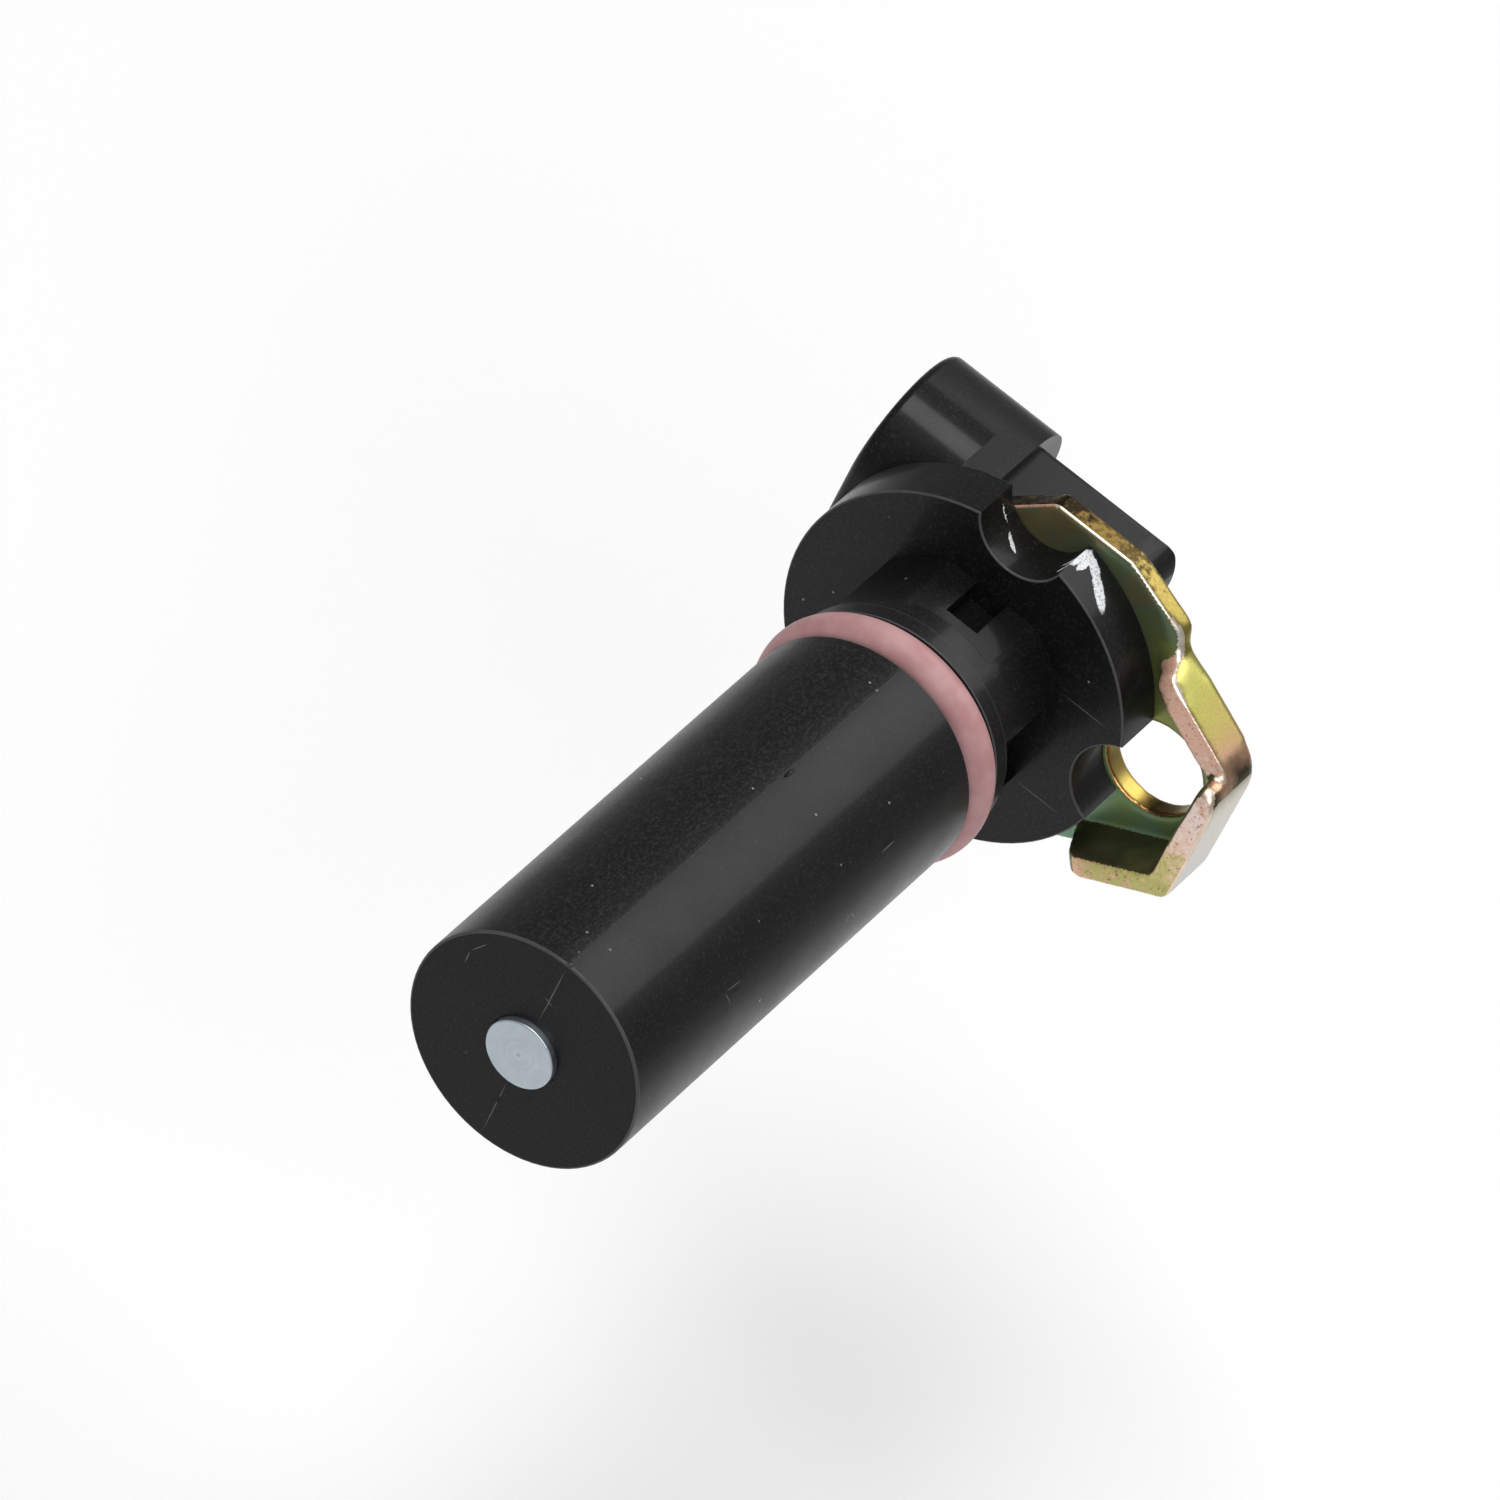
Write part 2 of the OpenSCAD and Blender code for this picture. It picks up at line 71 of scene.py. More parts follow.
Point = tuple[float, float, float]
Place = Callable[[Vector], bool]


class Slot(Enum):
    """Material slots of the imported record."""

    NYLON = "black_nylon"
    STEEL = "passivated_steel"
    SEAL = "seal_rubber"
    IRON = "pole_iron"
    MAGNET = "magnet_alloy"
    BOBBIN = "bobbin_nylon"
    COPPER = "copper_wire"
    BRASS = "tinned_brass"


class Group(Enum):
    """Groups of faces on the stamped bracket, in the order of its material slots.

    The plate's two faces, its sheared side, the lip's outer wall, the end wall, the lip's sheared front
    edge, the inner walls, the bolt hole's wall, the rolled front edges and the hole's front rim.
    """

    PLATE = 0
    SIDE = 1
    LIP = 2
    END = 3
    EDGE = 4
    INNER = 5
    HOLE = 6
    ROLL = 7
    RIM = 8


def linear(colour: str) -> tuple[float, float, float, float]:
    """Turns an sRGB hex colour into linear RGBA.

    Args:
        colour: Colour as "#rrggbb".

    Returns:
        Linear red, green, blue and an alpha of 1.
    """
    parts = [int(colour[i : i + 2], 16) / 255 for i in (1, 3, 5)]
    red, green, blue = (c / 12.92 if c <= 0.04045 else ((c + 0.055) / 1.055) ** 2.4 for c in parts)
    return red, green, blue, 1.0


@dataclass(frozen=True)
class Stroke:
    """A slim mark on a surface, such as a scratch or a brush stroke of paint.

    Attributes:
        start: One end of the mark.
        end: Its other end.
        half_width: Half its width at the middle.
    """

    start: Point
    end: Point
    half_width: float


class Shader:
    """Node graph of one material."""

    def __init__(self, name: str) -> None:
        """Starts the graph with a Principled shader.

        Args:
            name: Name of the material.
        """
        self.material = bpy.data.materials.new(name)
        self.material.use_nodes = True
        self.tree = self.material.node_tree
        self.surface = self.tree.nodes["Principled BSDF"]

    def add(
        self, kind: str, inputs: dict[str | int, object], out: str | int = 0, **settings: object
    ) -> bpy.types.NodeSocket:
        """Adds a node with its settings and links.

        Args:
            kind: Blender's name of the node type, without its prefix.
            inputs: Values or sockets for the node's inputs, by name or number.
            out: Name or number of the output that is wanted.
            **settings: Properties of the node; ramp holds the colour stops of a colour ramp.

        Returns:
            The wanted output.
        """
        node = self.tree.nodes.new(f"ShaderNode{kind}")
        ramp = settings.pop("ramp", ())
        for key, value in settings.items():
            setattr(node, key, value)
        for index, (position, colour) in enumerate(ramp):
            stops = node.color_ramp.elements
            stop = stops[index] if index < 2 else stops.new(position)
            stop.position, stop.color = position, linear(colour)
        self.feed(node, inputs)
        return node.outputs[out]

    def feed(self, node: bpy.types.Node, inputs: dict[str | int, object]) -> None:
        """Sets or links a node's inputs.

        Args:
            node: Node whose inputs are set.
            inputs: Values or sockets, by the input's name or number.
        """
        for key, value in inputs.items():
            if isinstance(value, bpy.types.NodeSocket):
                self.tree.links.new(value, node.inputs[key])
            else:
                node.inputs[key].default_value = value

    def millimetres(self) -> bpy.types.NodeSocket:
        """Object coordinates in millimetres."""
        place = self.add("TexCoord", {}, "Object")
        return self.add("VectorMath", {0: place, "Scale": 1 / MM}, operation="SCALE")

    def marks(self, place: bpy.types.NodeSocket, strokes: tuple[Stroke, ...], soft: float) -> bpy.types.NodeSocket:
        """Mask of a set of strokes.

        Args:
            place: Coordinates in millimetres.
            strokes: Strokes to draw.
            soft: Share of a stroke's width over which its edge fades.

        Returns:
            Mask that is 1 on a stroke.
        """
        mask = None
        for stroke in strokes:
            start, end = Vector(stroke.start), Vector(stroke.end)
            turn = Vector((1, 0, 0)).rotation_difference(end - start).to_euler()
            half = (end - start).length / 2 + stroke.half_width
            inside = self.add("Mapping", {
                "Vector": place, "Location": (start + end) / 2, "Rotation": turn,
                "Scale": (half, stroke.half_width, stroke.half_width)}, vector_type="TEXTURE")
            reach = self.add("VectorMath", {0: inside}, "Value", operation="LENGTH")
            drawn = self.add("MapRange", {0: reach, 1: 1.0, 2: 1.0 - soft}, interpolation_type="SMOOTHSTEP")
            mask = drawn if mask is None else self.add("Math", {0: mask, 1: drawn}, operation="MAXIMUM")
        return mask


@dataclass(frozen=True)
class MouldedNylon:
    """Black glass-filled nylon as it leaves the mould.

    Attributes:
        name: Name of the material.
        dark: Colour in the resin-rich patches.
        pale: Colour where the fibres come up to the skin.
        roughness: Mean roughness.
        grain: Size of the skin's grain.
    """

    name: str = "glass_filled_nylon"
    dark: str = "#0a0a0b"
    pale: str = "#141416"
    roughness: float = 0.42
    grain: float = 0.2

    def make(self) -> bpy.types.Material:
        """Builds the material.

        Returns:
            Material with a dull, slightly mottled black skin, a rougher mould half, specks of dust, the
            scuffs of handling and the white inspection paint on the flange.
        """
        s = Shader(self.name)
        place = s.millimetres()
        x, y, _ = s.add("SeparateXYZ", {0: place}).node.outputs
        cloud = s.add("TexNoise", {"Vector": place, "Scale": 1 / 6, "Detail": 5.0})
        grain = s.add("TexNoise", {"Vector": place, "Scale": 1 / self.grain, "Detail": 3.0, "Roughness": 0.65})
        # The mould half at -X was worn: the barrel is rougher and darker on that side of the parting line.
        left = s.add("MapRange", {0: x, 1: 0.05, 2: -0.05})
        half = s.add("Math", {0: left, 1: s.add("MapRange", {0: y, 1: 44.0, 2: 43.5})}, operation="MULTIPLY")
        half = s.add("Math", {0: half, 1: s.add("MapRange", {0: y, 1: 0.1, 2: 0.4})}, operation="MULTIPLY")
        # Its wear shows as short pale streaks along the barrel; elsewhere fibres come up as fine specks.
        drawn = s.add("VectorMath", {0: place, 1: (4.5, 2.0, 4.5)}, operation="MULTIPLY")
        streaks = s.add("TexNoise", {"Vector": drawn, "Scale": 1.0, "Detail": 5.0, "Roughness": 0.7})
        worn = s.add("MapRange", {0: streaks, 1: 0.48, 2: 0.7, 4: 0.42})
        worn = s.add("Math", {0: worn, 1: half}, operation="MULTIPLY")
        fibres = s.add("MapRange", {0: grain, 1: 0.54, 2: 0.7, 4: 0.3})
        colour = s.add("Mix", {0: cloud, 6: linear(self.dark), 7: linear(self.pale)}, 2, data_type="RGBA")
        colour = s.add("Mix", {0: half, 6: colour, 7: linear("#060607")}, 2, data_type="RGBA")
        colour = s.add("Mix", {0: worn, 6: colour, 7: linear("#3e3f40")}, 2, data_type="RGBA")
        colour = s.add("Mix", {0: fibres, 6: colour, 7: linear("#4a4b4c")}, 2, data_type="RGBA")
        cells = s.add("TexVoronoi", {"Vector": place, "Scale": 1 / 2.4}).node.outputs
        chance = s.add("SeparateXYZ", {0: cells["Color"]})
        dust = s.add("MapRange", {0: cells["Distance"], 1: 0.055, 2: 0.025, 4: 0.8})
        dust = s.add("Math", {0: dust, 1: s.add("MapRange", {0: chance, 1: 0.45, 2: 0.5})}, operation="MULTIPLY")
        colour = s.add("Mix", {0: dust, 6: colour, 7: linear("#9a9b99")}, 2, data_type="RGBA")
        scuffs = s.add("Math", {0: s.marks(place, SCUFFS, 0.6), 1: 0.6}, operation="MULTIPLY")
        colour = s.add("Mix", {0: scuffs, 6: colour, 7: linear("#7d7f7e")}, 2, data_type="RGBA")
        # Painted shade: near-black lines for the shade inside cracks, chips and the weld line's void
        crack_shade = s.marks(place, CRACK_SHADE, 0.5)
        colour = s.add("Mix", {0: crack_shade, 6: colour, 7: linear("#020202")}, 2, data_type="RGBA")
        drift = s.add("TexNoise", {"Vector": place, "Scale": 1 / 0.35, "Detail": 4.0, "Roughness": 0.7}, "Color")
        drift = s.add("VectorMath", {0: drift, 1: (-0.5, -0.5, -0.5)}, operation="ADD")
        brushed = s.add("VectorMath", {0: drift, 1: (0.45, 0.45, 0.45), 2: place}, operation="MULTIPLY_ADD")
        paint = s.marks(brushed, PAINT, 0.2)
        cover = s.add("MapRange", {0: grain, 1: 0.36, 2: 0.5, 3: 0.45})
        paint = s.add("Math", {0: paint, 1: cover}, operation="MULTIPLY")
        colour = s.add("Mix", {0: paint, 6: colour, 7: linear("#e9ebee")}, 2, data_type="RGBA")
        rough = s.add("MapRange", {0: grain, 1: 0.3, 2: 0.7, 3: self.roughness - 0.05, 4: self.roughness + 0.06})
        rough = s.add("Math", {0: half, 1: 0.04, 2: rough}, operation="MULTIPLY_ADD")
        rough = s.add("Math", {0: rough, 1: s.add("MapRange", {0: cloud, 3: -0.15, 4: 0.15})}, operation="ADD")
        lift = s.add("Math", {0: half, 1: 1.6, 2: 0.45}, operation="MULTIPLY_ADD")
        height = s.add("Math", {0: grain, 1: lift}, operation="MULTIPLY")
        height = s.add("Math", {0: paint, 1: 1.5, 2: height}, operation="MULTIPLY_ADD")
        bump = s.add("Bump", {"Height": height, "Strength": 0.35, "Distance": 0.03 * MM})
        s.feed(s.surface, {
            "Base Color": colour, "Roughness": rough, "Specular IOR Level": 0.15, "IOR": 1.53, "Normal": bump,
            "Coat Weight": 0.22, "Coat Roughness": 0.13, "Coat IOR": 1.4})
        return s.material


# Handling scuffs on the barrel, the weld line and scratches in the sensing face, and the slide's witness
# lines on the flange
SCUFFS = (
    Stroke((8.1, 32.2, 5.4), (8.1, 34.3, 5.4), 0.07),
    Stroke((9.5, 27.4, 2.0), (9.3, 28.1, 3.0), 0.07),
    Stroke((9.3, 28.1, 3.0), (9.55, 28.9, 2.0), 0.06),
    Stroke((8.05, 11.6, 5.5), (8.15, 13.8, 5.35), 0.05),
    Stroke((8.05, 11.6, 5.5), (8.75, 12.1, 4.3), 0.05),
    Stroke((0.0, 0.0, 2.9), (0.0, 0.0, 9.6), 0.06),
    Stroke((0.0, 0.0, -3.0), (0.08, 0.0, -9.6), 0.05),
    Stroke((-0.5, 0.0, 5.75), (0.5, 0.0, 5.4), 0.06),
    Stroke((-6.8, 0.0, 3.3), (-6.85, 0.0, 4.7), 0.06),
    Stroke((-6.85, 0.0, 4.7), (-5.9, 0.0, 6.4), 0.06),
    Stroke((8.0, 57.3, 5.0), (12.8, 57.3, 5.0), 0.05),
    Stroke((8.0, 57.3, -5.0), (12.8, 57.3, -5.0), 0.05),
)

# Painted shade: black lines for the shade in the cracks where the flash has broken away: along the parting line,
# round the chip on the barrel, and in the weld line and its void in the sensing face
CRACK_SHADE = (
    Stroke((-0.03, 2.0, 9.75), (-0.03, 5.2, 9.75), 0.06),
    Stroke((0.14, 27.4, 9.74), (0.3, 29.7, 9.74), 0.3),
    Stroke((7.9, 32.3, 5.7), (7.9, 34.2, 5.7), 0.16),
    Stroke((8.2, 12.0, 5.2), (8.35, 13.4, 5.0), 0.2),
    Stroke((0.07, 0.0, 2.9), (0.07, 0.0, 5.2), 0.07),
    Stroke((0.07, 0.0, -5.2), (0.07, 0.0, -5.9), 0.16),
)

# Inspection paint: a long dab and the smear beside it on the flange's rim, and a streak in its upper notch
PAINT = (
    Stroke((4.3, 61.05, 14.15), (5.9, 59.95, 13.5), 0.5),
    Stroke((5.4, 60.3, 13.7), (7.4, 58.85, 12.85), 0.55),
    Stroke((4.0, 61.2, 14.25), (3.6, 58.9, 14.0), 0.5),
    Stroke((4.5, 60.9, 14.2), (4.3, 59.2, 14.1), 0.3),
    Stroke((3.7, 60.2, 14.0), (3.0, 59.6, 13.1), 0.2),
    Stroke((3.6, 59.5, 14.0), (3.1, 58.5, 13.3), 0.18),
    Stroke((-3.3, 60.5, 13.4), (-2.4, 60.4, 12.35), 0.09),
    Stroke((-1.7, 60.05, 11.9), (-0.5, 59.2, 11.53), 0.2),
)


@dataclass(frozen=True)
class PassivatedSteel:
    """Zinc-plated steel with a yellow chromate film.

    Attributes:
        name: Name of the material.
        stops: Colours along the gradient: the film's colours, and in some finishes painted highlight, shade and
            reflection.
        along: Direction of the gradient.
        reach: Where the gradient starts and ends along that direction.
        roughness: Mean roughness.
        mottle: Share of the gradient that the film's patches shift.
        patch: Size of those patches.
        torn: Depth of the torn, sheared texture, from 0 to 1.
        metallic: Share of bare metal; a torn edge also scatters some light.
    """

    name: str
    stops: tuple[str, ...]
    along: Point
    reach: tuple[float, float]
    roughness: float = 0.28
    mottle: float = 0.5
    patch: float = 3.0
    torn: float = 0.0
    metallic: float = 1.0

    def make(self) -> bpy.types.Material:
        """Builds the material.

        Returns:
            Bright metal under a film that drifts between the interference colours of the passivation.
        """
        s = Shader(self.name)
        place = s.millimetres()
        along = s.add("VectorMath", {0: place, 1: self.along}, "Value", operation="DOT_PRODUCT")
        along = s.add("MapRange", {0: along, 1: self.reach[0], 2: self.reach[1]})
        patches = s.add("TexNoise", {"Vector": place, "Scale": 1 / self.patch, "Detail": 3.0, "Roughness": 0.55})
        shift = s.add("MapRange", {0: patches, 1: 0.25, 2: 0.75, 3: -self.mottle / 2, 4: self.mottle / 2})
        film = s.add("Math", {0: along, 1: shift}, operation="ADD")
        last = len(self.stops) - 1
        stops = [(i / last, colour) for i, colour in enumerate(self.stops)]
        colour = s.add("ValToRGB", {0: film}, ramp=stops)
        fine = s.add("TexNoise", {"Vector": place, "Scale": 1 / 0.25, "Detail": 4.0, "Roughness": 0.7})
        pits = s.add("MapRange", {0: fine, 1: 0.42, 2: 0.34, 4: self.torn})
        colour = s.add("Mix", {0: pits, 6: colour, 7: linear("#6b4636")}, 2, data_type="RGBA")
        rough = s.add("MapRange", {0: fine, 1: 0.3, 2: 0.7, 3: self.roughness - 0.03, 4: self.roughness + 0.05})
        bump = s.add("Bump", {"Height": fine, "Strength": 0.1 + 0.3 * self.torn, "Distance": 0.03 * MM})
        s.feed(s.surface, {"Base Color": colour, "Metallic": self.metallic, "Roughness": rough, "Normal": bump})
        return s.material


@dataclass(frozen=True)
class SealRubber:
    """Moulded seal ring of pink rubber, dusty from its release agent.

    Attributes:
        name: Name of the material.
        colour: Colour of the bare rubber.
        pale: Colour under the dust.
        roughness: Mean roughness.
    """

    name: str = "fluorosilicone_rubber"
    colour: str = "#b58586"
    pale: str = "#c49899"
    roughness: float = 0.48

    def make(self) -> bpy.types.Material:
        """Builds the material.

        Returns:
            Soft, faintly mottled pink with a low satin sheen.
        """
        s = Shader(self.name)
        place = s.millimetres()
        cloud = s.add("TexNoise", {"Vector": place, "Scale": 1 / 2.2, "Detail": 4.0})
        grain = s.add("TexNoise", {"Vector": place, "Scale": 1 / 0.12, "Detail": 2.0})
        tone = s.add("MapRange", {0: cloud, 1: 0.3, 2: 0.7}, interpolation_type="SMOOTHSTEP")
        colour = s.add("Mix", {0: tone, 6: linear(self.colour), 7: linear(self.pale)}, 2, data_type="RGBA")
        rough = s.add("MapRange", {0: cloud, 1: 0.3, 2: 0.7, 3: self.roughness - 0.06, 4: self.roughness + 0.06})
        bump = s.add("Bump", {"Height": grain, "Strength": 0.12, "Distance": 0.02 * MM})
        s.feed(s.surface, {
            "Base Color": colour, "Roughness": rough, "IOR": 1.42, "Specular IOR Level": 0.4, "Normal": bump})
        return s.material


@dataclass(frozen=True)
class TurnedMetal:
    """Bar metal with the fine rings of a facing cut across the barrel's axis.

    Attributes:
        name: Name of the material.
        dark: Colour in the tool marks.
        pale: Colour between them.
        roughness: Mean roughness.
        ring: Spacing of the tool marks.
    """

    name: str
    dark: str
    pale: str
    roughness: float
    ring: float = 0.22

    def make(self) -> bpy.types.Material:
        """Builds the material.

        Returns:
            Satin metal with faint concentric rings and a small dark pip at its centre.
        """
        s = Shader(self.name)
        place = s.millimetres()
        x, _, z = s.add("SeparateXYZ", {0: place}).node.outputs
        flat = s.add("CombineXYZ", {0: x, 2: z})
        radius = s.add("VectorMath", {0: flat}, "Value", operation="LENGTH")
        cloud = s.add("TexNoise", {"Vector": place, "Scale": 1 / 1.1, "Detail": 4.0})
        turned = s.add("Math", {0: radius, 1: self.ring}, operation="DIVIDE")
        rings = s.add("TexNoise", {"W": turned, "Scale": 1.0, "Detail": 2.0}, noise_dimensions="1D")
        tone = s.add("Math", {0: rings, 1: cloud}, operation="ADD")
        shade = s.add("MapRange", {0: tone, 1: 0.4, 2: 1.6}, interpolation_type="SMOOTHSTEP")
        colour = s.add("Mix", {0: shade, 6: linear(self.dark), 7: linear(self.pale)}, 2, data_type="RGBA")
        pip = s.add("MapRange", {0: radius, 1: 0.2, 2: 0.12, 4: 0.3})
        colour = s.add("Mix", {0: pip, 6: colour, 7: linear("#5a5d60")}, 2, data_type="RGBA")
        rough = s.add("MapRange", {0: tone, 1: 0.6, 2: 1.4, 3: self.roughness - 0.06, 4: self.roughness + 0.08})
        bump = s.add("Bump", {"Height": rings, "Strength": 0.1, "Distance": 0.02 * MM})
        s.feed(s.surface, {"Base Color": colour, "Metallic": 1.0, "Roughness": rough, "Normal": bump})
        return s.material


@dataclass(frozen=True)
class NaturalNylon:
    """Undyed nylon of the bobbin: ivory, a little clouded by its fibres.

    Attributes:
        name: Name of the material.
        dark: Colour in the clouds.
        pale: Colour between them.
        roughness: Mean roughness.
    """

    name: str = "natural_nylon"
    dark: str = "#cfc6ac"
    pale: str = "#ded7c2"
    roughness: float = 0.42

    def make(self) -> bpy.types.Material:
        """Builds the material.

        Returns:
            Ivory plastic with soft clouds and a fine grain.
        """
        s = Shader(self.name)
        place = s.millimetres()
        cloud = s.add("TexNoise", {"Vector": place, "Scale": 1 / 3, "Detail": 4.0})
        grain = s.add("TexNoise", {"Vector": place, "Scale": 1 / 0.2, "Detail": 2.0})
        colour = s.add("Mix", {0: cloud, 6: linear(self.dark), 7: linear(self.pale)}, 2, data_type="RGBA")
        rough = s.add("MapRange", {0: grain, 1: 0.3, 2: 0.7, 3: self.roughness - 0.05, 4: self.roughness + 0.05})
        bump = s.add("Bump", {"Height": grain, "Strength": 0.15, "Distance": 0.02 * MM})
        s.feed(s.surface, {"Base Color": colour, "Roughness": rough, "IOR": 1.53, "Normal": bump})
        return s.material


@dataclass(frozen=True)
class EnamelledCopper:
    """Wound copper wire under a clear amber enamel; the turns are drawn at twice their real pitch.

    Attributes:
        name: Name of the material.
        dark: Painted shade between the turns.
        pale: Colour on the turns.
        pitch: Pitch of the turns as drawn.
    """

    name: str = "enamelled_copper"
    dark: str = "#7c3d1c"
    pale: str = "#c27a44"
    pitch: float = 0.24

    def make(self) -> bpy.types.Material:
        """Builds the material.

        Returns:
            Reddish metal ribbed by the turns of the coil.
        """
        s = Shader(self.name)
        place = s.millimetres()
        # A wave's bands repeat every 2 pi / 20 of its scaled coordinate.
        turns = s.add("TexWave", {
            "Vector": place, "Scale": 2 * math.pi / (20 * self.pitch), "Distortion": 0.4,
        }, "Fac", bands_direction="Y")
        cloud = s.add("TexNoise", {"Vector": place, "Scale": 1 / 2, "Detail": 3.0})
        cloud = s.add("MapRange", {0: cloud, 1: 0.2, 2: 0.8, 3: 0.6, 4: 1.0})
        tone = s.add("Math", {0: turns, 1: cloud}, operation="MULTIPLY")
        # Painted shade: darker between the turns
        colour = s.add("Mix", {0: tone, 6: linear(self.dark), 7: linear(self.pale)}, 2, data_type="RGBA")
        bump = s.add("Bump", {"Height": turns, "Strength": 0.6, "Distance": 0.08 * MM})
        s.feed(s.surface, {"Base Color": colour, "Metallic": 1.0, "Roughness": 0.3, "Normal": bump})
        return s.material


@dataclass(frozen=True)
class StudioFloor:
    """Matt white paper under the part, with a painted pool of light: white in the middle of the picture, greying
    away from it.

    Attributes:
        name: Name of the material.
        white: Colour of the painted pool of light in the middle.
        grey: Colour far from it.
        middle: Centre of the painted pool of light.
        fade: Radii between which the white turns grey.
    """

    name: str = "paper_with_painted_light_pool"
    white: str = "#ffffff"
    grey: str = "#bdbdbd"
    middle: Point = (-23.0, 124.0, -90.0)
    fade: tuple[float, float] = (130.0, 260.0)

    def make(self) -> bpy.types.Material:
        """Builds the material.

        Returns:
            Dull paper with a faint tooth, white in the painted pool of light and grey away from it.
        """
        s = Shader(self.name)
        place = s.millimetres()
        # Painted pool of light: white round the middle, fading to grey further out
        away = s.add("VectorMath", {0: place, 1: self.middle}, "Value", operation="DISTANCE")
        fade = s.add("MapRange", {0: away, 1: self.fade[0], 2: self.fade[1]}, interpolation_type="SMOOTHSTEP")
        colour = s.add("Mix", {0: fade, 6: linear(self.white), 7: linear(self.grey)}, 2, data_type="RGBA")
        tooth = s.add("TexNoise", {"Vector": place, "Scale": 1 / 0.8})
        rough = s.add("MapRange", {0: tooth, 1: 0.2, 2: 0.8, 3: 0.92, 4: 1.0})
        s.feed(s.surface, {"Base Color": colour, "Roughness": rough, "Specular IOR Level": 0.0})
        return s.material


def only(piece: bpy.types.Object) -> None:
    """Makes a piece the one that is selected and active.

    Args:
        piece: Piece to select.
    """
    bpy.ops.object.select_all(action="DESELECT")
    piece.select_set(True)
    bpy.context.view_layer.objects.active = piece


def mount(piece: bpy.types.Object) -> None:
    """Seats a finished piece on the part and reports it.

    Args:
        piece: Finished piece.
    """
    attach(piece, "root")
    LOG.info("%s: %d faces", piece.name, len(piece.data.polygons))


@dataclass
class Solid:
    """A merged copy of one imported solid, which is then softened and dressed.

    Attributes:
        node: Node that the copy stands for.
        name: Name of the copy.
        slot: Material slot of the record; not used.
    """

    node: str
    name: str
    slot: Slot

    def copy(self) -> bpy.types.Object:
        """Copies the node and joins its loose triangles into flat faces.

        Returns:
            The merged copy.
        """
        only(frame["nodes"][self.node])
        bpy.ops.object.duplicate()
        piece = bpy.context.object
        piece.name = piece.data.name = self.name
        piece.parent = None
        del piece["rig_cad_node"]
        piece.data.materials.clear()
        bpy.ops.mesh.customdata_custom_splitnormals_clear()
        bpy.ops.object.mode_set(mode="EDIT")
        bpy.ops.mesh.select_all(action="SELECT")
        bpy.ops.mesh.remove_doubles(threshold=0.001 * MM)
        bpy.ops.mesh.dissolve_limited(angle_limit=math.radians(0.4))
        bpy.ops.mesh.select_mode(type="EDGE")
        bpy.ops.object.mode_set(mode="OBJECT")
        return piece

    def soften(self, piece: bpy.types.Object, place: Place, width: float, material: int = 0) -> int:
        """Rounds the sharp edges of one region.

        Args:
            piece: Piece to soften.
            place: Says whether an edge's middle, in millimetres, lies in the region.
            width: Width of the round.
            material: Slot of the material on the round.

        Returns:
            How many edges were rounded.
        """
        only(piece)
        bpy.ops.object.mode_set(mode="EDIT")
        bpy.ops.mesh.select_all(action="DESELECT")
        mesh = bmesh.from_edit_mesh(piece.data)
        found = 0
        for edge in mesh.edges:
            middle = (edge.verts[0].co + edge.verts[1].co) / (2 * MM)
            if edge.calc_face_angle(0.0) > math.radians(42) and place(middle):
                edge.select_set(True)
                found += 1
        bmesh.update_edit_mesh(piece.data)
        if found:
            bpy.ops.mesh.bevel(
                offset=width * MM, segments=3, affect="EDGES", clamp_overlap=True, material=material)
        bpy.ops.object.mode_set(mode="OBJECT")
        return found

    def smooth(self, piece: bpy.types.Object) -> None:
        """Shades a piece smooth, with flat faces kept flat beside its rounded edges.

        Args:
            piece: Piece to shade.
        """
        only(piece)
        bpy.ops.object.shade_smooth_by_angle(angle=math.radians(40))
        bpy.ops.object.modifier_add(type="WEIGHTED_NORMAL")
        bpy.context.object.modifiers[-1].keep_sharp = True
        bpy.ops.object.modifier_apply(modifier=bpy.context.object.modifiers[-1].name)

    def finish(self, piece: bpy.types.Object) -> None:
        """Smooths a piece and puts it in its node's place.

        Args:
            piece: Piece that is ready.
        """
        self.smooth(piece)
        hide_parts(self.node)
        mount(piece)


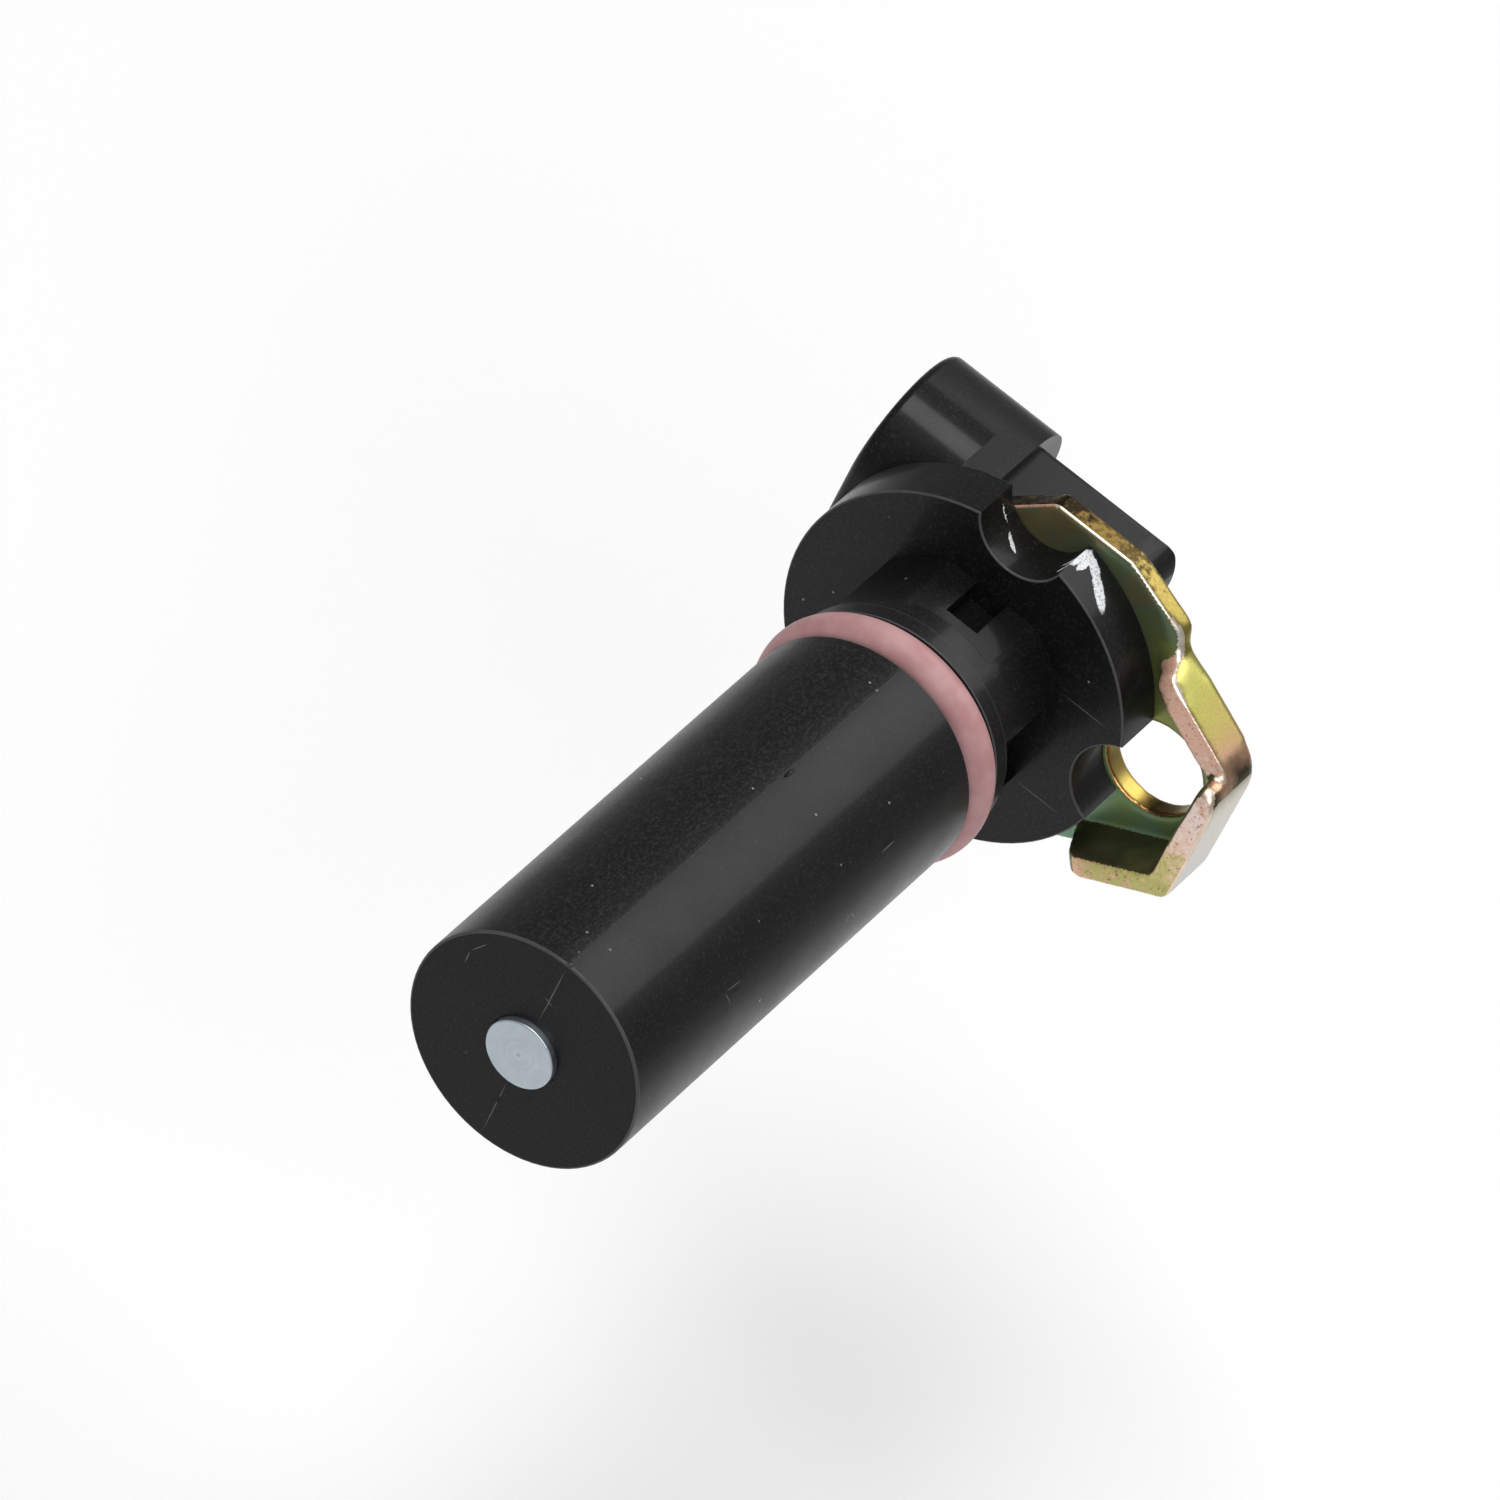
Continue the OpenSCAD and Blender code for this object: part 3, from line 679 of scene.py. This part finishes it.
@dataclass
class Housing(Solid):
    """The overmoulded body.

    Attributes:
        barrel_r: Radius of the barrel and the collar; not used.
        groove: Front and rear of the seal groove.
        collar_end: Rear of the collar.
        seat: Seat face of the flange.
        flange_back: Rear face of the flange.
        mouth: Distance of the connector's mouth from the axis.
    """

    node: str = "sensor_housing"
    name: str = "moulded_housing"
    slot: Slot = Slot.NYLON
    barrel_r: float = 9.75
    groove: tuple[float, float] = (44.2, 47.9)
    collar_end: float = 49.4
    seat: float = 57.3
    flange_back: float = 61.85
    mouth: float = 15.7

    def build(self) -> None:
        """Builds the body with its softened edges."""
        piece = self.copy()
        piece.data.materials.append(MouldedNylon().make())
        # The rounds of the tip rim, the groove and collar and the flange's rims get a paler skin: partly wear,
        # partly a painted highlight along the edges
        piece.data.materials.append(
            MouldedNylon("nylon_edge_wear_and_painted_highlight", dark="#2f2f30", pale="#5e5e60", roughness=0.45).make())
        near = 0.02
        regions: tuple[tuple[str, Place, float, int], ...] = (
            ("tip rim", lambda p: abs(p.y) < near and p.xz.length > 9, 0.2, 1),
            ("pole bore", lambda p: abs(p.y) < near and p.xz.length < 4, 0.08, 0),
            ("groove and collar", lambda p: self.groove[0] - near < p.y < self.collar_end + near
                and p.xz.length > 9.5, 0.1, 1),
            ("flange front", lambda p: abs(p.y - self.seat) < near and p.xz.length > 9.6, 0.14, 1),
            ("flange back", lambda p: abs(p.y - self.flange_back) < near and p.xz.length > 10.6
                and p.x > -5.5, 0.1, 1),
            ("neck", lambda p: self.collar_end + near < p.y < self.seat - near and p.xz.length > 6.5, 0.1, 0),
            ("mouth", lambda p: p.x < near - self.mouth and p.y > 64, 0.25, 0),
        )
        for region, place, width, material in regions:
            LOG.info("%s: %d edges softened", region, self.soften(piece, place, width, material))
        self.finish(piece)


@dataclass
class Bracket(Solid):
    """The stamped bracket with its bent lip.

    Attributes:
        plate_front: Front face of the plate.
        bolt: Centre of the bolt hole, in x and z.
        hole_r: Radius of the bolt hole.
        lip_way: Direction in which the upper lip runs.
        lip_start: Where the lip starts, measured along that direction.
        foot_end: Where the foot ends, in x.
        mesh_step: Size of the even mesh that the rounding works on.
        tumble_turns: Rounds of smoothing on all edges.
        flows: Middle, radius and rounds of smoothing of each stretch where the sheet flows: into the lip,
            round the ear's corner, and round the foot.
    """

    node: str = "mounting_bracket"
    name: str = "stamped_bracket"
    slot: Slot = Slot.STEEL
    plate_front: float = 61.9
    bolt: tuple[float, float] = (16.0, 0.3)
    hole_r: float = 4.05
    lip_way: Point = (0.862, 0.0, -0.507)
    lip_start: float = 6.4
    foot_end: float = 13.5
    mesh_step: float = 0.17
    tumble_turns: int = 13
    flows: tuple[tuple[Point, float, int], ...] = (
        ((13.4, 61.2, 10.6), 3.6, 150), ((21.4, 58.6, 4.2), 3.0, 45), ((18.0, 57.8, -6.5), 6.0, 30))

    def finishes(self) -> tuple[PassivatedSteel, ...]:
        """Finishes of the face groups.

        Returns:
            One finish for each member of Group, in its order.
        """
        down = (0.5, 0.0, -0.86)
        return (
            PassivatedSteel("passivated_plate", ("#7d7350", "#68785c", "#6f7848", "#8f9450", "#7e9a66", "#76987e"),
                            down, (-13, 15), roughness=0.36, metallic=0.6),
            PassivatedSteel("sheared_side", ("#2c2418", "#8b7440", "#4a3f26", "#b59f58", "#a3954f"), (1, 0, 0),
                            (1, 12), roughness=0.34, mottle=0.5, patch=0.6, torn=0.5),
            # The lip's film runs out into a dark olive at the ear's corner: a painted reflection on the curved
            # corner
            PassivatedSteel("passivated_lip_and_corner_reflection", ("#cdbd74", "#c9c66e", "#cbc36c", "#d2b878", "#d9ae90", "#3f3c22"),
                            (0.86, 0, -0.51), (5.5, 17.0), mottle=0.25),
            PassivatedSteel("passivated_end", ("#b7b19f", "#bdb8ad", "#b5b3b0"), (0, 0, -1), (-6, 6), mottle=0.2),
            PassivatedSteel("sheared_edge", ("#d9a890", "#ecc0a8", "#e6b9a2", "#fbe8de", "#f8d2be", "#d6c882",
                                             "#bdbb6c", "#e8b698"), (0, 0, -1), (-12, 9),
                            roughness=0.36, mottle=0.3, patch=0.55, torn=0.8, metallic=0.32),
            # Painted shade: a darker copy of the film on the inner walls, the inner fillets and the foot's inside
            PassivatedSteel("inner_walls_painted_shade", ("#5f5f40", "#4a4c35", "#77744a"), (1, 0, 0), (13, 22), mottle=0.7,
                            roughness=0.36, metallic=0.7),
            PassivatedSteel("passivated_hole", ("#7a672f", "#b9a45c", "#c2a858", "#4a3a1c", "#8d7a48"), (1, 0, 0),
                            (12, 19), mottle=0.25, roughness=0.36),
            # Painted highlight: a near-white finish on the rolled front edges and the sweep into the lip
            PassivatedSteel("rolled_edge_painted_highlight", ("#efe4cc", "#f3ecdd", "#ecd0bc"), (1, 0, 0), (0, 22), roughness=0.34,
                            mottle=0.6, patch=1.2),
            PassivatedSteel("hole_rim", ("#d98f5c", "#e0a468", "#d8b070"), (1, 0, 0), (12, 20), roughness=0.25),
        )

    def from_bolt(self, at: Vector) -> float:
        """Distance of a point in millimetres from the bolt hole's axis."""
        return math.hypot(at.x - self.bolt[0], at.z - self.bolt[1])

    def group(self, face: bpy.types.MeshPolygon) -> Group:
        """Sorts a face into its group.

        Args:
            face: Face of the bracket.

        Returns:
            The group that the face belongs to.
        """
        at, way = face.center / MM, face.normal
        along = at.dot(Vector(self.lip_way))
        sheared = along < self.lip_start if at.z > 0 else at.x < self.foot_end
        if self.from_bolt(at) < self.hole_r + 0.4 and abs(way.y) < 0.85:
            return Group.RIM if way.y < -0.3 else Group.HOLE
        if way.y < -0.85:
            return Group.PLATE if at.y > self.plate_front - 0.5 else Group.EDGE
        # Inward-turned faces take the darker inner finish, which is painted shade
        if way.y < -0.25 and way.x < -0.25:
            return Group.EDGE if at.z > 0 and along < self.lip_start + 1.2 else Group.INNER
        # Faces turned between the front and the side get the near-white finish, a painted highlight along the
        # rolled edges
        if way.y < -0.25:
            return Group.ROLL
        if way.y > 0.7:
            return Group.PLATE
        if sheared:
            return Group.SIDE
        if way.x > 0.93:
            return Group.END
        # Inward faces: the darker inner finish with painted shade; the rest of the lip keeps its film
        return Group.INNER if way.x < -0.3 else Group.LIP

    def relax(self, piece: bpy.types.Object, turns: int, stretch: str = "") -> None:
        """Rounds the edges of a finely meshed piece.

        Args:
            piece: Piece to round.
            turns: Rounds of smoothing.
            stretch: Vertex group that weighs the rounding; all of the piece without it.
        """
        bpy.ops.object.modifier_add(type="SMOOTH")
        smooth = piece.modifiers[-1]
        smooth.factor, smooth.iterations, smooth.vertex_group = 0.5, turns, stretch
        bpy.ops.object.modifier_apply(modifier=smooth.name)

    def tumble(self, piece: bpy.types.Object) -> None:
        """Rounds the sheet as stamping and tumbling do, most of all where the lip flows out of the plate.

        Args:
            piece: Copy of the bracket, which gets a fine, even mesh.
        """
        only(piece)
        bpy.ops.object.modifier_add(type="REMESH")
        remesh = piece.modifiers[-1]
        remesh.mode, remesh.voxel_size = "VOXEL", self.mesh_step * MM
        bpy.ops.object.modifier_apply(modifier=remesh.name)
        for at, radius, turns in self.flows:
            flow = piece.vertex_groups.new(name="flow")
            centre = Vector(at) * MM
            for vertex in piece.data.vertices:
                share = 1.0 - (vertex.co - centre).length / (radius * MM)
                if share > 0:
                    flow.add([vertex.index], min(1.0, 2 * share), "REPLACE")
            self.relax(piece, turns, flow.name)
        self.relax(piece, self.tumble_turns)
        piece.vertex_groups.clear()

    def build(self) -> None:
        """Builds the bracket, rounds it and gives each group of faces its film."""
        piece = self.copy()
        self.tumble(piece)
        for finish in self.finishes():
            piece.data.materials.append(finish.make())
        for face in piece.data.polygons:
            face.material_index = self.group(face).value
        self.finish(piece)


@dataclass
class PolePiece(Solid):
    """The iron rod whose end shows in the sensing face.

    Attributes:
        proud: How far its end stands out of the face.
    """

    node: str = "pole_piece"
    name: str = "iron_pole_piece"
    slot: Slot = Slot.IRON
    proud: float = 0.6

    def build(self) -> None:
        """Builds the rod with a broken edge at its front."""
        piece = self.copy()
        piece.data.materials.append(TurnedMetal("ground_iron", "#c0ccd4", "#dae5ec", 0.4).make())
        self.soften(piece, lambda p: p.y < 0.05 - self.proud, 0.12)
        self.finish(piece)


@dataclass(frozen=True)
class KeptNodes:
    """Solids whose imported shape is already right: the seal ring, the coil stack and the terminals."""

    def dress(self) -> None:
        """Gives each solid its finish."""
        brass = TurnedMetal("tinned_brass", "#b3ad9b", "#cfcabb", 0.34, ring=1.5).make()
        for node, material in (
            ("o_ring", SealRubber().make()),
            ("permanent_magnet", TurnedMetal("sintered_alnico", "#5d5f63", "#7b7d81", 0.5).make()),
            ("coil_bobbin", NaturalNylon().make()),
            ("coil_winding", EnamelledCopper().make()),
            ("terminal_upper", brass),
            ("terminal_lower", brass),
        ):
            solid = frame["nodes"][node]
            solid.data.materials.clear()
            solid.data.materials.append(material)
            LOG.info("%s: %s", node, material.name)


@dataclass
class MouldFlash:
    """Flash that the mould left on the plastic: the parting bead, the tip's blob and torn slivers.

    Attributes:
        barrel_r: Radius of the barrel.
        beads: Front and rear of each stretch of the parting bead.
        bead_w: Width of the bead.
        proud: Height of the bead above the barrel.
    """

    barrel_r: float = 9.75
    beads: tuple[tuple[float, float], ...] = ((15.8, 18.6), (30.4, 43.4))
    bead_w: float = 0.12
    proud: float = 0.02

    def parting_bead(self, stretch: tuple[float, float]) -> bpy.types.Object:
        """Builds one stretch of the low bead along the mould's parting line, on both sides of the barrel.

        Args:
            stretch: Front and rear of the stretch.

        Returns:
            The bead.
        """
        bpy.ops.object.select_all(action="DESELECT")
        length = stretch[1] - stretch[0]
        bpy.ops.mesh.primitive_cube_add(size=1)
        piece = bpy.context.object
        piece.scale = (self.bead_w * MM, length * MM, 0.3 * MM)
        piece.location = (0, (stretch[0] + length / 2) * MM, (self.barrel_r + self.proud - 0.15) * MM)
        bpy.ops.object.transform_apply(location=True, rotation=True, scale=True)
        bpy.ops.object.mode_set(mode="EDIT")
        bpy.ops.mesh.select_mode(type="EDGE")
        bpy.ops.mesh.select_all(action="DESELECT")
        mesh = bmesh.from_edit_mesh(piece.data)
        top = max(v.co.z for v in mesh.verts) - 0.01 * MM
        for edge in mesh.edges:
            first, second = edge.verts
            edge.select_set(min(first.co.z, second.co.z) > top and abs(first.co.y - second.co.y) > MM)
        bmesh.update_edit_mesh(piece.data)
        bpy.ops.mesh.bevel(offset=0.4 * self.bead_w * MM, segments=3, affect="EDGES")
        bpy.ops.mesh.select_all(action="SELECT")
        bpy.ops.mesh.duplicate()
        bpy.ops.transform.rotate(value=math.pi, orient_axis="Y", center_override=(0, 0, 0))
        bpy.ops.object.mode_set(mode="OBJECT")
        bpy.ops.object.shade_smooth_by_angle(angle=math.radians(40))
        return piece

    def sliver(self, at: Point, size: Point, turn: float) -> bpy.types.Object:
        """Builds one torn scrap of plastic.

        Args:
            at: Its centre.
            size: Its extents.
            turn: Turn about the upright axis in degrees.

        Returns:
            The scrap.
        """
        bpy.ops.object.select_all(action="DESELECT")
        bpy.ops.mesh.primitive_ico_sphere_add(subdivisions=3, radius=1)
        piece = bpy.context.object
        piece.scale = tuple(0.5 * edge * MM for edge in size)
        bpy.ops.object.transform_apply(location=True, rotation=True, scale=True)
        bpy.ops.object.mode_set(mode="EDIT")
        bpy.ops.transform.vertex_random(offset=0.05 * MM, seed=int(10 * at[1]) % 97)
        bpy.ops.transform.rotate(value=math.radians(turn), orient_axis="Z", center_override=(0, 0, 0))
        bpy.ops.transform.translate(value=tuple(c * MM for c in at))
        bpy.ops.object.mode_set(mode="OBJECT")
        bpy.ops.object.shade_smooth_by_angle(angle=math.radians(50))
        return piece

    def build(self) -> None:
        """Builds the bead and the scraps in one paler skin of the housing's plastic."""
        material = MouldedNylon("nylon_flash", dark="#2c2d2e", pale="#4a4b4c", roughness=0.42).make()
        beads = [self.parting_bead(stretch) for stretch in self.beads]
        scraps = [
            self.sliver((0.05, 0.25, 9.72), (0.55, 0.4, 0.28), 20),
            self.sliver((0.22, 28.6, 9.76), (0.3, 1.15, 0.16), 4),
            self.sliver((-0.9, 51.2, 8.75), (0.75, 0.22, 0.26), 12),
            self.sliver((0.35, 51.35, 8.65), (0.5, 0.2, 0.2), -14),
            self.sliver((2.0, 51.25, 8.62), (0.6, 0.2, 0.18), -8),
        ]
        for name, pieces in (("parting_bead", beads), ("torn_flash", scraps)):
            only(pieces[0])
            for piece in pieces:
                piece.select_set(True)
            bpy.ops.object.join()
            whole = bpy.context.object
            whole.name = whole.data.name = name
            whole.data.materials.append(material)
            mount(whole)


@dataclass
class Studio:
    """Floor, lamps, world and camera.

    Attributes:
        floor_z: Height of the floor.
        eye: Place of the camera.
        right: Direction of the picture's right in the part's frame.
        ahead: Direction in which the camera looks.
        lens: Focal length on a 36 mm sensor.
    """

    floor_z: float = -90.0
    eye: Point = (180.0, -669.05, 712.42)
    right: Point = (0.7715, 0.5406, 0.3353)
    ahead: Point = (-0.1818, 0.6925, -0.6981)
    lens: float = 336.0

    def floor(self) -> None:
        """Lays the white paper."""
        bpy.ops.object.select_all(action="DESELECT")
        bpy.ops.mesh.primitive_plane_add(size=1)
        paper = bpy.context.object
        paper.name = "paper_floor"
        paper.scale = (4, 4, 1)
        paper.location = (0, 0, self.floor_z * MM)
        bpy.ops.object.transform_apply(location=True, rotation=True, scale=True)
        paper.data.materials.append(StudioFloor().make())

    def softbox(self, name: str, at: Point, aim: Point, size: float, radiance: float) -> None:
        """Hangs one square softbox.

        Args:
            name: Name of the lamp.
            at: Its place.
            aim: Point that it faces.
            size: Edge length.
            radiance: Brightness of its face, where 1 is white.
        """
        bpy.ops.object.select_all(action="DESELECT")
        bpy.ops.object.light_add(type="AREA", location=tuple(c * MM for c in at))
        lamp = bpy.context.object
        lamp.name = name
        lamp.rotation_euler = (Vector(aim) - Vector(at)).to_track_quat("-Z", "Y").to_euler()
        lamp.data.shape = "SQUARE"
        lamp.data.size = size * MM
        lamp.data.energy = radiance * math.pi * (size * MM) ** 2

    def world(self, strength: float) -> None:
        """Fills the room with an even grey light.

        Args:
            strength: Brightness of the room, where 1 is white.
        """
        room = bpy.data.worlds.new("grey_room")
        room.use_nodes = True
        shade = room.node_tree.nodes["Background"]
        shade.inputs["Color"].default_value = (1.0, 1.0, 1.0, 1.0)
        shade.inputs["Strength"].default_value = strength
        bpy.context.scene.world = room

    def camera(self) -> None:
        """Sets the camera up at the photograph's viewing angle."""
        bpy.ops.object.camera_add()
        eye = bpy.context.object
        right, back = Vector(self.right).normalized(), -Vector(self.ahead).normalized()
        up = back.cross(right).normalized()
        right = up.cross(back)
        turn = Matrix((right, up, back)).transposed().to_4x4()
        eye.matrix_world = Matrix.Translation(Vector(self.eye) * MM) @ turn
        eye.data.lens = self.lens
        eye.data.sensor_width = 36.0
        bpy.context.scene.camera = eye

    def build(self) -> None:
        """Builds the studio."""
        bpy.context.scene.view_settings.view_transform = "Standard"
        self.floor()
        self.softbox("back_softbox", (150, 700, 700), (0, 30, 0), 700, 2.7)
        self.softbox("top_softbox", (-150, -150, 900), (0, 40, 0), 350, 8.5)
        self.softbox("front_softbox", (400, -700, 730), (0, 30, 0), 600, 3.2)
        self.world(0.3)
        self.camera()


def main() -> None:
    """Builds the pieces in order and reports them."""
    logging.basicConfig(level=logging.INFO, format="%(name)s %(message)s")
    Housing().build()
    Bracket().build()
    PolePiece().build()
    KeptNodes().dress()
    MouldFlash().build()
    Studio().build()


if __name__ == "__main__":
    main()
